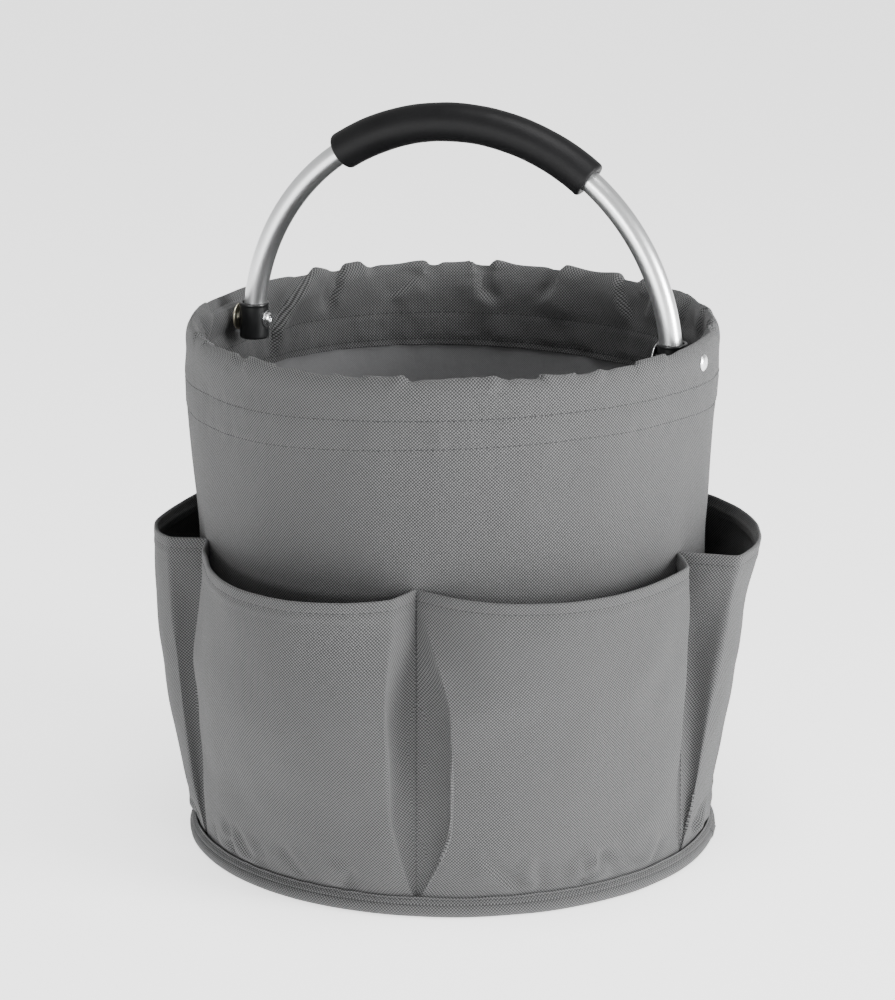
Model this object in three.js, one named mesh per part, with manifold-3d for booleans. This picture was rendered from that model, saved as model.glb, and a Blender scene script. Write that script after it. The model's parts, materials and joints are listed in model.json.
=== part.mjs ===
// Round fabric cleaning caddy with six outside pockets and a folding bail handle.
// Millimetres, +Z up. The origin is the centre of the base on the floor.
// X runs along the handle's pivot axis and -Y is the front.
// Angles round the caddy are in degrees from the front, growing towards +X.
import * as THREE from "three";
import { mergeVertices } from "three/addons/utils/BufferGeometryUtils.js";
import Module from "manifold-3d";

const wasm = await Module();
wasm.setup();

// Driving dimensions of the basket
const RIM_HEIGHT = 332;
const RIM_RADIUS = 165;
const RIM_FULL_HEIGHT = 324; // where the wall reaches its rim radius
const WAIST_HEIGHT = 203;
const WAIST_RADIUS = 158;
const FOOT_RADIUS = 161;
const ROUND_SEGMENTS = 50;
const ROUND_START = 16.4; // angle of the first facet edge

// Cloth and sheet thicknesses, and the gap left between touching layers
const GAP = 0.3;
const FABRIC = 1.2;
const STIFFENER = 1.2;
const LINING = 0.8;

// Hem channel at the rim
const FACING_DROP = 52;
const FACING_OFFSET = 5.8; // from the outside of the wall to the back of the facing
const ROLL_INNER_RADIUS = 157.5;
const HOOP_OUTER_RADIUS = 162.3;
const HOOP_THICKNESS = 1.6;
const HOOP_WIDTH = 20;
const HOOP_BOTTOM = 305;
const HOOP_SLIT_ANGLE = 0.6;
const JOINER_ANGLE = 11;
const JOINER_WIDTH = 14;
const JOINER_THICKNESS = 0.8;
const HOOP_RIVET_RADIUS = 2;
const HOOP_RIVET_ANGLE = 3.2;
const STIFFENER_TOP = 298;
const LINING_TOP = 301;
const FACING_TOP = 317; // where the facing meets the roll

// Base
const PIPING_RADIUS = 4.7;
const PIPING_RING_RADIUS = 163.5;
const PIPING_CORD_RADIUS = 3.2;
const WALL_BOTTOM = 2 * PIPING_RADIUS + GAP;
const BASE_PANEL_RADIUS = 157.5;
const TAPE_INNER_RADIUS = 162.2;
const TAPE_BOTTOM = 9.9;
const TAPE_TOP = 13.2;
const BASE_BOARD = 3;

// Pockets
const POCKET_NAMES = ["front_right", "right", "rear", "rear_left", "left", "front"];
const POCKET_SEAMS = [15.9, 84.2, 144.7, 197.9, 251.2, 311.2]; // angle where each pocket starts
const SEAM_HALF_WIDTH = 0.6; // degrees from a seam to the pocket's edge
const POCKET_BOTTOM = 13.9;
const POCKET_TOP = 203;
const POCKET_SAG = 2;
const POCKET_STAND_OFF = 0.7; // cloth to wall at the seams
const POCKET_DEPTH_BOTTOM = 1.5;
const POCKET_DEPTH_TOP = 31;
const POCKET_ROUNDNESS = 2.6;

// Handle
const PIVOT_HEIGHT = 319.6;
const HANDLE_SHIFT = 4; // the handle sits this far towards +X in its end play
const ARCH_RADIUS = 141;
const ARCH_CENTRE_HEIGHT = 313.6;
const TUBE_RADIUS = 7;
const TUBE_WALL = 1.2;
const TUBE_END_HEIGHT = 311.4;
const GRIP_RADIUS = 12;
const GRIP_HALF_ANGLE = 36;
const GRIP_TURN = 1.9; // the grip has slid this far round the arch towards +X
const GRIP_ROUNDING = 2.5;
const SLEEVE_RADIUS = 9.25;
const SLEEVE_BOTTOM = 307;
const SLEEVE_TOP = 330;
const SOCKET_GAP = 0.5; // round the tube, inside a sleeve or the grip

// Pivot hardware
const SHANK_RADIUS = 3;
const SHANK_CLEARANCE = 0.3;
const SCREW_HEAD_RADIUS = 4;
const SCREW_HEAD_HEIGHT = 1.8;
const SOCKET_RADIUS = 1.8;
const SOCKET_DEPTH = 1.2;
const HEAD_WASHER = 0.6;
const SPOTFACE_CLEARANCE = 0.5;
// A seat is where the head washer bears, measured from the middle of the leg. The left one is a
// spotface let into the sleeve, and the right one is the side of the sleeve under a wide washer.
const PIVOTS = [
  { name: "left", side: -1, seat: 8.3, washerRadius: 5.2 },
  { name: "right", side: 1, seat: SLEEVE_RADIUS, washerRadius: 9 },
];
const CUP_WASHER_RADIUS = 8.5;
const CUP_WASHER_DEPTH = 2.2;
const BARREL_RADIUS = 4;
const BARREL_CAP_RADIUS = 5.2;
const BARREL_CAP_HEIGHT = 1.9;
const BARREL_INNER_END = 158.6;
const SHANK_END = 163.4;

const WALL_DRILL_START = 150; // drills for the holes in the wall, out from the centre
const WALL_DRILL_END = 175;
const REAR = 90; // angle of the rear from +X
const radians = THREE.MathUtils.degToRad;
const lerp = THREE.MathUtils.lerp;

const caddy = new THREE.Group();

const materials = {
  cloth: { color: 0x75777a, roughness: 0.85, metalness: 0 },
  lining: { color: 0x55565a, roughness: 0.9, metalness: 0 },
  board: { color: 0x3b3c3e, roughness: 0.7, metalness: 0 },
  aluminium: { color: 0xc9cccd, roughness: 0.35, metalness: 1 },
  foam: { color: 0x1b1b1c, roughness: 0.9, metalness: 0 },
  blackPlastic: { color: 0x101112, roughness: 0.45, metalness: 0 },
  chrome: { color: 0xd9dcdd, roughness: 0.15, metalness: 1 },
  brass: { color: 0xb9a978, roughness: 0.3, metalness: 1 },
};

function addPiece(name, geometry, material) {
  const mesh = new THREE.Mesh(geometry, new THREE.MeshStandardMaterial(materials[material]));
  mesh.name = name;
  caddy.add(mesh);
  return mesh;
}

// ---- geometry helpers ----

// A ring or disc turned about Z from an outline of [radius, height] points, anticlockwise.
function turned(outline, segments = ROUND_SEGMENTS, start = ROUND_START) {
  const points = outline.map(([radius, height]) => new THREE.Vector2(radius, height));
  if (outline[0][0] > 0) points.push(points[0].clone());
  const geometry = new THREE.LatheGeometry(points, segments, radians(start));
  return geometry.rotateX(Math.PI / 2);
}

// A small part turned about the pivot axis: outline points are [radius, distance along the axis].
function turnedOnPivot(outline, side) {
  const geometry = turned(outline, 18, 0);
  geometry.rotateY(Math.PI / 2);
  if (side < 0) geometry.rotateZ(Math.PI);
  return geometry.translate(0, 0, PIVOT_HEIGHT);
}

function toSolid(geometry) {
  const open = geometry.index ? geometry.toNonIndexed() : geometry;
  const bare = new THREE.BufferGeometry().setAttribute("position", open.getAttribute("position"));
  const merged = mergeVertices(bare, 1e-4);
  const vertProperties = new Float32Array(merged.getAttribute("position").array);
  const corners = merged.index.array;
  const kept = [];
  for (let i = 0; i < corners.length; i += 3) {
    const [a, b, c] = corners.slice(i, i + 3);
    if (a !== b && b !== c && c !== a) kept.push(a, b, c);
  }
  return new wasm.Manifold(new wasm.Mesh({ numProp: 3, vertProperties, triVerts: new Uint32Array(kept) }));
}

function fromSolid(solid) {
  const mesh = solid.getMesh();
  const geometry = new THREE.BufferGeometry();
  geometry.setAttribute("position", new THREE.BufferAttribute(new Float32Array(mesh.vertProperties), 3));
  geometry.setIndex(new THREE.BufferAttribute(new Uint32Array(mesh.triVerts), 1));
  geometry.computeVertexNormals();
  return geometry;
}

function cut(geometry, ...tools) {
  return fromSolid(tools.reduce((solid, tool) => solid.subtract(toSolid(tool)), toSolid(geometry)));
}

// A straight drill through a wall, along X.
function drillAlongX(radius, from, to) {
  const drill = new THREE.CylinderGeometry(radius, radius, to - from, 20);
  return drill.rotateZ(Math.PI / 2).translate((from + to) / 2, 0, PIVOT_HEIGHT);
}

// Holes for both barrel nuts, through the wall and the hoop.
function barrelHoles() {
  const radius = BARREL_RADIUS + GAP;
  return [
    drillAlongX(radius, WALL_DRILL_START, WALL_DRILL_END),
    drillAlongX(radius, -WALL_DRILL_END, -WALL_DRILL_START),
  ];
}

// A bar along Y through the rear of the hoop, turned about Z by an angle.
function rearRivet(radius, inner, outer, angle) {
  const bar = new THREE.CylinderGeometry(radius, radius, outer - inner, 16);
  return bar
    .translate(0, (inner + outer) / 2, 0)
    .translate(0, 0, HOOP_BOTTOM + HOOP_WIDTH / 2)
    .rotateZ(radians(angle));
}

// A flat-sided band bent to an arc between two angles, which are measured from +X.
function bentBand(inner, outer, width, bottom, fromAngle, toAngle, steps) {
  const band = new THREE.Shape();
  band.absarc(0, 0, outer, radians(fromAngle), radians(toAngle), false);
  band.absarc(0, 0, inner, radians(toAngle), radians(fromAngle), true);
  band.closePath();
  const geometry = new THREE.ExtrudeGeometry(band, {
    depth: width,
    bevelEnabled: false,
    curveSegments: steps,
  });
  return geometry.translate(0, 0, bottom);
}

// ---- basket ----

// Outside radius of the cloth wall.
function wallRadius(height) {
  if (height < WAIST_HEIGHT) return lerp(FOOT_RADIUS, WAIST_RADIUS, height / WAIST_HEIGHT);
  const share = Math.min((height - WAIST_HEIGHT) / (RIM_FULL_HEIGHT - WAIST_HEIGHT), 1);
  return lerp(WAIST_RADIUS, RIM_RADIUS, share);
}

// An upright layer of the wall, a given depth in from its outside.
function wallLayer(depth, thickness, bottom, top) {
  const heights = [bottom, WAIST_HEIGHT, top];
  const outside = heights.map((z) => [wallRadius(z) - depth, z]);
  const inside = heights.map((z) => [wallRadius(z) - depth - thickness, z]).reverse();
  return turned([...outside, ...inside]);
}

// The wall, the roll over the rim and the facing that hangs inside are one piece of cloth.
function shell() {
  const wallHeights = [WALL_BOTTOM, WAIST_HEIGHT];
  const facingHeights = [FACING_TOP, RIM_HEIGHT - FACING_DROP];
  const outside = wallHeights.map((z) => [wallRadius(z), z]);
  const rollOutside = [
    [RIM_RADIUS, RIM_FULL_HEIGHT],
    [RIM_RADIUS - 1.2, RIM_HEIGHT - 2.8],
    [RIM_RADIUS - 4.2, RIM_HEIGHT],
    [RIM_RADIUS - 6.2, RIM_HEIGHT - 1.2],
    [ROLL_INNER_RADIUS, RIM_HEIGHT - 4.6],
    [ROLL_INNER_RADIUS + 0.3, RIM_HEIGHT - 9.4],
  ];
  const facingFront = facingHeights.map((z) => [wallRadius(z) - FACING_OFFSET - FABRIC, z]);
  const facingBack = facingHeights.map((z) => [wallRadius(z) - FACING_OFFSET, z]).reverse();
  const rollInside = [
    [ROLL_INNER_RADIUS + 1.6, RIM_HEIGHT - 6.4],
    [ROLL_INNER_RADIUS + 3.1, RIM_HEIGHT - 2.4],
    [RIM_RADIUS - 2.1, RIM_HEIGHT - 3.6],
    [RIM_RADIUS - FABRIC, RIM_FULL_HEIGHT],
  ];
  const inside = wallHeights.map((z) => [wallRadius(z) - FABRIC, z]).reverse();
  const cloth = turned([
    ...outside,
    ...rollOutside,
    ...facingFront,
    ...facingBack,
    ...rollInside,
    ...inside,
  ]);
  return cut(cloth, ...barrelHoles());
}

function rivetHoles() {
  const radius = HOOP_RIVET_RADIUS + GAP;
  return [-HOOP_RIVET_ANGLE, HOOP_RIVET_ANGLE].map((angle) =>
    rearRivet(radius, WALL_DRILL_START, WALL_DRILL_END, angle),
  );
}

function hoop() {
  const inner = HOOP_OUTER_RADIUS - HOOP_THICKNESS;
  const from = REAR + HOOP_SLIT_ANGLE;
  const to = REAR + 360 - HOOP_SLIT_ANGLE;
  const stepsPerCurve = 27;
  const band = bentBand(inner, HOOP_OUTER_RADIUS, HOOP_WIDTH, HOOP_BOTTOM, from, to, stepsPerCurve);
  return cut(band, ...barrelHoles(), ...rivetHoles());
}

function hoopJoiner() {
  const outer = HOOP_OUTER_RADIUS - HOOP_THICKNESS - GAP;
  const bottom = HOOP_BOTTOM + (HOOP_WIDTH - JOINER_WIDTH) / 2;
  const from = REAR - JOINER_ANGLE / 2;
  const plate = bentBand(outer - JOINER_THICKNESS, outer, JOINER_WIDTH, bottom, from, from + JOINER_ANGLE, 3);
  return cut(plate, ...rivetHoles());
}

// ---- base ----

function disc(radius, bottom, top) {
  return turned([[0, bottom], [radius, bottom], [radius, top], [0, top]]);
}

// Cloth wrapped round the cord, open along a slit on its upper inner side where it is sewn in.
function piping() {
  const slit = 132;
  const slitHalf = 9;
  const outerSteps = 9;
  const innerSteps = 5;
  const point = (radius, angle) => [
    PIPING_RING_RADIUS + radius * Math.cos(radians(angle)),
    PIPING_RADIUS + radius * Math.sin(radians(angle)),
  ];
  const start = slit + slitHalf;
  const sweep = 360 - 2 * slitHalf;
  const outline = [];
  for (let i = 0; i <= outerSteps; i++) outline.push(point(PIPING_RADIUS, start + (sweep * i) / outerSteps));
  const inner = PIPING_CORD_RADIUS + GAP;
  for (let i = innerSteps; i >= 0; i--) outline.push(point(inner, start + (sweep * i) / innerSteps));
  return turned(outline);
}

function pipingCord() {
  const sides = 6;
  const outline = [];
  for (let i = 0; i < sides; i++) {
    const angle = (2 * Math.PI * i) / sides;
    const radius = PIPING_CORD_RADIUS - GAP;
    outline.push([PIPING_RING_RADIUS + radius * Math.cos(angle), PIPING_RADIUS + radius * Math.sin(angle)]);
  }
  return turned(outline);
}

// A narrow tape round the foot of the wall, which covers the lower edges of the pockets.
function tape() {
  return turned([
    [TAPE_INNER_RADIUS, TAPE_BOTTOM],
    [TAPE_INNER_RADIUS + 3.2, TAPE_BOTTOM],
    [TAPE_INNER_RADIUS + 2.2, TAPE_TOP],
    [TAPE_INNER_RADIUS, TAPE_TOP],
  ]);
}

// ---- pockets ----

// A bowed panel, sewn to the wall at its sides and bottom and open at the top.
function pocket(centreAngle, halfAngle) {
  const columns = 10;
  const rows = 7;
  const sections = [];
  for (let row = 0; row <= rows; row++) {
    const rise = row / rows;
    const depth = lerp(POCKET_DEPTH_BOTTOM, POCKET_DEPTH_TOP, Math.sin((rise * Math.PI) / 2));
    const inner = [];
    for (let column = 0; column <= columns; column++) {
      const share = Math.sin((Math.PI / 2) * ((2 * column) / columns - 1));
      const sag = POCKET_SAG * rise * (1 - share * share);
      const height = lerp(POCKET_BOTTOM, POCKET_TOP, rise) - sag;
      const bow = Math.sqrt(Math.max(0, 1 - Math.abs(share) ** POCKET_ROUNDNESS));
      const radius = wallRadius(height) + POCKET_STAND_OFF + depth * bow;
      const angle = radians(centreAngle + share * halfAngle);
      inner.push(new THREE.Vector3(radius * Math.sin(angle), -radius * Math.cos(angle), height));
    }
    const outer = inner.map((point, i) => {
      const along = inner[Math.min(i + 1, columns)].clone().sub(inner[Math.max(i - 1, 0)]);
      const outward = new THREE.Vector3(along.y, -along.x, 0).normalize();
      return point.clone().addScaledVector(outward, FABRIC);
    });
    sections.push([...outer, ...inner.reverse()]);
  }
  return lofted(sections);
}

// A closed body through sections that are each an outer row of points and the inner row back.
function lofted(sections) {
  const count = sections[0].length;
  const points = sections.flat();
  const faces = [];
  const quad = (a, b, c, d) => faces.push(a, b, c, a, c, d);
  for (let s = 0; s + 1 < sections.length; s++) {
    for (let i = 0; i < count; i++) {
      const next = (i + 1) % count;
      quad(s * count + i, s * count + next, (s + 1) * count + next, (s + 1) * count + i);
    }
  }
  const last = (sections.length - 1) * count;
  for (let i = 0; i + 1 < count / 2; i++) {
    quad(count - 1 - i, count - 2 - i, i + 1, i);
    quad(last + i, last + i + 1, last + count - 2 - i, last + count - 1 - i);
  }
  const geometry = new THREE.BufferGeometry().setFromPoints(points);
  geometry.setIndex(faces);
  geometry.computeVertexNormals();
  return geometry;
}

// ---- handle ----

// Up one leg, round the half circle and down the other leg, in the plane Y = 0.
class BailCurve extends THREE.Curve {
  constructor(footHeight) {
    super();
    this.leg = ARCH_CENTRE_HEIGHT - footHeight;
    this.arc = Math.PI * ARCH_RADIUS;
  }

  getPoint(t, target = new THREE.Vector3()) {
    const along = t * (2 * this.leg + this.arc);
    const onArc = THREE.MathUtils.clamp((along - this.leg) / this.arc, 0, 1);
    const angle = Math.PI * (1 - onArc);
    const below = Math.max(this.leg - along, along - this.leg - this.arc, 0);
    return target.set(
      HANDLE_SHIFT + ARCH_RADIUS * Math.cos(angle),
      0,
      ARCH_CENTRE_HEIGHT + ARCH_RADIUS * Math.sin(angle) - below,
    );
  }
}

function bar(radius, boreRadius, curve, steps) {
  const section = new THREE.Shape().absarc(0, 0, radius, 0, 2 * Math.PI, false);
  if (boreRadius > 0) section.holes.push(new THREE.Path().absarc(0, 0, boreRadius, 0, 2 * Math.PI, true));
  return new THREE.ExtrudeGeometry(section, { steps, curveSegments: 6, extrudePath: curve });
}

function tube() {
  const whole = bar(TUBE_RADIUS, TUBE_RADIUS - TUBE_WALL, new BailCurve(TUBE_END_HEIGHT), 28);
  return cut(whole, drillAlongX(SHANK_RADIUS + SHANK_CLEARANCE, -160, 160));
}

// The grip: a thick round sleeve bent along the top of the arch, with rounded ends.
function grip() {
  const steps = 12;
  const sides = 16;
  const bore = TUBE_RADIUS + SOCKET_GAP;
  const bend = radians(GRIP_HALF_ANGLE);
  const endAngle = GRIP_ROUNDING / ARCH_RADIUS;
  const profile = [[GRIP_RADIUS - GRIP_ROUNDING, -bend]];
  for (let i = 0; i <= steps; i++) {
    profile.push([GRIP_RADIUS, lerp(-bend + endAngle, bend - endAngle, i / steps)]);
  }
  profile.push([GRIP_RADIUS - GRIP_ROUNDING, bend]);
  for (let i = steps; i >= 0; i--) profile.push([bore, lerp(-bend, bend, i / steps)]);
  const points = [];
  for (const [radius, fromMiddle] of profile) {
    const angle = radians(GRIP_TURN) + fromMiddle;
    for (let side = 0; side < sides; side++) {
      const turn = (2 * Math.PI * side) / sides;
      const reach = ARCH_RADIUS + radius * Math.cos(turn);
      points.push(
        new THREE.Vector3(
          HANDLE_SHIFT + reach * Math.sin(angle),
          radius * Math.sin(turn),
          ARCH_CENTRE_HEIGHT + reach * Math.cos(angle),
        ),
      );
    }
  }
  const faces = [];
  for (let row = 0; row < profile.length; row++) {
    const nextRow = (row + 1) % profile.length;
    for (let side = 0; side < sides; side++) {
      const next = (side + 1) % sides;
      const [a, b] = [row * sides + side, row * sides + next];
      const [c, d] = [nextRow * sides + next, nextRow * sides + side];
      faces.push(a, c, b, a, d, c);
    }
  }
  const geometry = new THREE.BufferGeometry().setFromPoints(points);
  geometry.setIndex(faces);
  geometry.computeVertexNormals();
  return geometry;
}

// A plastic cap on each end of the tube, closed below and drilled for the pivot screw.
function endSleeve({ side, seat, washerRadius }) {
  const chamfer = 1;
  const body = turned(
    [
      [0, SLEEVE_BOTTOM],
      [SLEEVE_RADIUS - chamfer, SLEEVE_BOTTOM],
      [SLEEVE_RADIUS, SLEEVE_BOTTOM + chamfer],
      [SLEEVE_RADIUS, SLEEVE_TOP - chamfer / 2],
      [SLEEVE_RADIUS - chamfer / 2, SLEEVE_TOP],
      [0, SLEEVE_TOP],
    ],
    18,
    0,
  ).translate(HANDLE_SHIFT + side * ARCH_RADIUS, 0, 0);
  const socket = bar(TUBE_RADIUS + SOCKET_GAP, 0, new BailCurve(TUBE_END_HEIGHT - GAP), 60);
  const pin = drillAlongX(SHANK_RADIUS + SHANK_CLEARANCE, side > 0 ? 120 : -160, side > 0 ? 160 : -120);
  const legCentre = HANDLE_SHIFT + side * ARCH_RADIUS;
  const seatSpan = [legCentre - side * seat, legCentre - 2 * side * SLEEVE_RADIUS].sort((a, b) => a - b);
  const spotface = drillAlongX(washerRadius + SPOTFACE_CLEARANCE, ...seatSpan);
  return seat < SLEEVE_RADIUS ? cut(body, socket, pin, spotface) : cut(body, socket, pin);
}

// ---- pivot hardware, each measured along X out from the centre ----

function pivotHardware({ name, side, seat, washerRadius }) {
  const legCentre = ARCH_RADIUS + side * HANDLE_SHIFT;
  const sleeveOutside = legCentre + SLEEVE_RADIUS;
  const bore = SHANK_RADIUS + SHANK_CLEARANCE;

  const washerOuter = legCentre - seat - GAP;
  const washerInner = washerOuter - HEAD_WASHER;
  const headWasher = turnedOnPivot(
    [
      [bore, washerInner],
      [washerRadius, washerInner],
      [washerRadius, washerOuter],
      [bore, washerOuter],
    ],
    side,
  );
  addPiece(`${name}_head_washer`, headWasher, "chrome");

  const headOuter = washerInner - GAP;
  const headInner = headOuter - SCREW_HEAD_HEIGHT;
  const screw = turnedOnPivot(
    [
      [0, headInner],
      [SCREW_HEAD_RADIUS - 0.7, headInner],
      [SCREW_HEAD_RADIUS, headInner + 0.7],
      [SCREW_HEAD_RADIUS, headOuter],
      [SHANK_RADIUS, headOuter],
      [SHANK_RADIUS, SHANK_END],
      [0, SHANK_END],
    ],
    side,
  );
  const socket = new THREE.CylinderGeometry(SOCKET_RADIUS, SOCKET_RADIUS, 2 * SOCKET_DEPTH, 6)
    .rotateZ(Math.PI / 2)
    .translate(side * headInner, 0, PIVOT_HEIGHT);
  addPiece(`${name}_pivot_screw`, cut(screw, socket), "chrome");

  const cupStart = sleeveOutside + GAP;
  const cupEnd = cupStart + CUP_WASHER_DEPTH;
  const cupSheet = 0.9;
  const cup = turnedOnPivot(
    [
      [bore, cupStart],
      [5, cupStart],
      [7.4, cupStart + 0.9],
      [CUP_WASHER_RADIUS, cupEnd],
      [CUP_WASHER_RADIUS - cupSheet, cupEnd],
      [6.7, cupStart + 0.9 + cupSheet],
      [5, cupStart + cupSheet],
      [bore, cupStart + cupSheet],
    ],
    side,
  );
  addPiece(`${name}_cup_washer`, cup, "brass");

  const capInner = wallRadius(PIVOT_HEIGHT) + GAP;
  const capOuter = capInner + BARREL_CAP_HEIGHT;
  const nut = turnedOnPivot(
    [
      [0, SHANK_END + GAP],
      [bore, SHANK_END + GAP],
      [bore, BARREL_INNER_END],
      [BARREL_RADIUS, BARREL_INNER_END],
      [BARREL_RADIUS, capInner],
      [BARREL_CAP_RADIUS, capInner],
      [BARREL_CAP_RADIUS, capInner + 0.7],
      [BARREL_CAP_RADIUS - 1.2, capOuter - 0.3],
      [2.2, capOuter],
      [0, capOuter],
    ],
    side,
  );
  addPiece(`${name}_barrel_nut`, nut, "chrome");
}

// ---- assembly ----

addPiece("outer_shell", shell(), "cloth");
addPiece("rim_hoop", hoop(), "aluminium");
addPiece("hoop_joiner", hoopJoiner(), "aluminium");
for (const [name, angle] of [["left", HOOP_RIVET_ANGLE], ["right", -HOOP_RIVET_ANGLE]]) {
  const inner = HOOP_OUTER_RADIUS - HOOP_THICKNESS - GAP - JOINER_THICKNESS;
  addPiece(`hoop_rivet_${name}`, rearRivet(HOOP_RIVET_RADIUS, inner, HOOP_OUTER_RADIUS, angle), "aluminium");
}
addPiece("wall_stiffener", wallLayer(FABRIC + GAP, STIFFENER, WALL_BOTTOM + GAP, STIFFENER_TOP), "board");

const boardBottom = FABRIC + GAP;
const boardTop = boardBottom + BASE_BOARD;
const floorTop = boardTop + GAP + LINING;
addPiece("base_panel", disc(BASE_PANEL_RADIUS, 0, FABRIC), "cloth");
addPiece("base_board", disc(BASE_PANEL_RADIUS, boardBottom, boardTop), "board");
addPiece("lining_floor", disc(BASE_PANEL_RADIUS, boardTop + GAP, floorTop), "lining");
const liningDepth = FABRIC + STIFFENER + 2 * GAP;
addPiece("lining_wall", wallLayer(liningDepth, LINING, floorTop + GAP, LINING_TOP), "lining");
addPiece("base_piping", piping(), "cloth");
addPiece("piping_cord", pipingCord(), "board");
addPiece("base_tape", tape(), "cloth");

POCKET_NAMES.forEach((name, i) => {
  const start = POCKET_SEAMS[i];
  const end = i + 1 < POCKET_SEAMS.length ? POCKET_SEAMS[i + 1] : POCKET_SEAMS[0] + 360;
  const halfAngle = (end - start) / 2 - SEAM_HALF_WIDTH;
  addPiece(`pocket_${name}`, pocket((start + end) / 2, halfAngle), "cloth");
});

addPiece("handle_tube", tube(), "aluminium");
addPiece("foam_grip", grip(), "foam");
for (const pivot of PIVOTS) {
  addPiece(`${pivot.name}_end_sleeve`, endSleeve(pivot), "blackPlastic");
  pivotHardware(pivot);
}

export default caddy;
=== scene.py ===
"""The looks of a round fabric cleaning caddy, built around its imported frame.

Shapes are worked out in millimetres, in the frame's own axes: +Z up, +X along the
handle's pivot axis and -Y the front. Angles round the caddy are in degrees from the
front, growing towards +X. Points go to metres only when a mesh is made.
"""

import json
import math

import bpy
import numpy as np
from mathutils import Euler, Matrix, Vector, noise


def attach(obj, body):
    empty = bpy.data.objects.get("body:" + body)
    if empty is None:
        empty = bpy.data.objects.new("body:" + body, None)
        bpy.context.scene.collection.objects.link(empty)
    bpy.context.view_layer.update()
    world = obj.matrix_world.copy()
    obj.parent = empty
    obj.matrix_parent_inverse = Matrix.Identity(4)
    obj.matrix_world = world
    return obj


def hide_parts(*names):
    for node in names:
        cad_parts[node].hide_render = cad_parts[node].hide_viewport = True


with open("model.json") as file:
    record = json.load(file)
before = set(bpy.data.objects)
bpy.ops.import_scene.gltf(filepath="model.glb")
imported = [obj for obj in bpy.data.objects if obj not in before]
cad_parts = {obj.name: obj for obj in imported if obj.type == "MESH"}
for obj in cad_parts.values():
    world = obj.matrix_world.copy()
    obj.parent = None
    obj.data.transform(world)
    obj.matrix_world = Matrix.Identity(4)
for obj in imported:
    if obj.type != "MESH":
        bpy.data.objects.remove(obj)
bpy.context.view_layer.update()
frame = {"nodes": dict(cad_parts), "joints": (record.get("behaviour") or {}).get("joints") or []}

# ---- driving dimensions, read from the frame ----


def node_points(name):
    """A CAD node's points in millimetres."""
    return np.array([v.co for v in frame["nodes"][name].data.vertices], float) * 1000


def node_box(name):
    points = node_points(name)
    return points.min(0), points.max(0)


def node_radius(name, height=None):
    """The greatest distance of a node's points from the Z axis, at one height if it is given."""
    points = node_points(name)
    if height is not None:
        off = np.abs(points[:, 2] - height)
        points = points[off < off.min() + 0.5]
    return float(np.hypot(points[:, 0], points[:, 1]).max())


def node_span(name):
    """The first and last angle that a node covers round the caddy."""
    points = node_points(name)
    middle = math.atan2(points[:, 0].mean(), -points[:, 1].mean())
    turned = np.arctan2(points[:, 0], -points[:, 1]) - middle
    turned = (turned + math.pi) % (2 * math.pi) - math.pi
    return math.degrees(middle + turned.min()), math.degrees(middle + turned.max())


SHELL_LOW, SHELL_HIGH = node_box("outer_shell")
WALL_BOTTOM = SHELL_LOW[2]
RIM_HEIGHT = SHELL_HIGH[2]
RIM_RADIUS = node_radius("outer_shell")
FULL_RADIUS_HEIGHT = RIM_HEIGHT - 8  # where the wall reaches the rim's radius
POCKET_BOTTOM = node_box("pocket_front")[0][2]
POCKET_TOP = node_box("pocket_front")[1][2]
WAIST_RADIUS = node_radius("outer_shell", POCKET_TOP)
FOOT_RADIUS = node_radius("outer_shell", WALL_BOTTOM)
FLOOR_TOP = node_box("lining_floor")[1][2]
PIPING_RADIUS = node_box("base_piping")[1][2] / 2
PIPING_RING = node_radius("base_piping") - PIPING_RADIUS
PIVOT_HEIGHT = frame["joints"][0]["pos_m"][2] * 1000
TUBE_LOW, TUBE_HIGH = node_box("handle_tube")
TUBE_RADIUS = TUBE_HIGH[1]
HANDLE_MIDDLE = (TUBE_LOW[0] + TUBE_HIGH[0]) / 2
ARCH_RADIUS = (TUBE_HIGH[0] - TUBE_LOW[0]) / 2 - TUBE_RADIUS
ARCH_HEIGHT = TUBE_HIGH[2] - TUBE_RADIUS - ARCH_RADIUS

CLOTH = 0.9  # thickness of the woven cloth
LINING = 0.7
TUBE_WALL = 1.2
FULL_TURN = 360.0


def wall_radius(height):
    """Outside radius of the smooth wall."""
    heights = [WALL_BOTTOM, POCKET_TOP, FULL_RADIUS_HEIGHT]
    return np.interp(height, heights, [FOOT_RADIUS, WAIST_RADIUS, RIM_RADIUS])


# ---- small shape helpers ----


def polar(radius, angle, height):
    turn = np.radians(angle)
    points = np.broadcast_arrays(radius * np.sin(turn), -radius * np.cos(turn), height)
    return np.stack(points, -1).astype(float)


def ease(value, start, end):
    """0 before start and 1 after end, with a smooth change between."""
    share = np.clip((value - start) / (end - start), 0, 1)
    return share * share * (3 - 2 * share)


def bell(value, width):
    return np.exp(-((value / width) ** 2))


def angle_from(angle, centre):
    """How far an angle is from a centre, from -180 to 180 degrees."""
    return (np.asarray(angle, float) - centre + 180) % FULL_TURN - 180


def lumps(points, size, seed=0.0):
    """Smooth noise from about -1 to 1 at each point, with lumps of a size in millimetres."""
    shape = points.shape[:-1]
    moved = points.reshape(-1, 3) / size + seed
    return np.array([noise.noise(Vector(p)) for p in moved]).reshape(shape)


def run_length(points, axis):
    """Distance along a grid of points from its first row or column."""
    steps = np.linalg.norm(np.diff(points, axis=axis), axis=-1)
    start = np.zeros_like(np.take(steps, [0], axis=axis))
    return np.cumsum(np.concatenate([start, steps], axis=axis), axis=axis)


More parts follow.
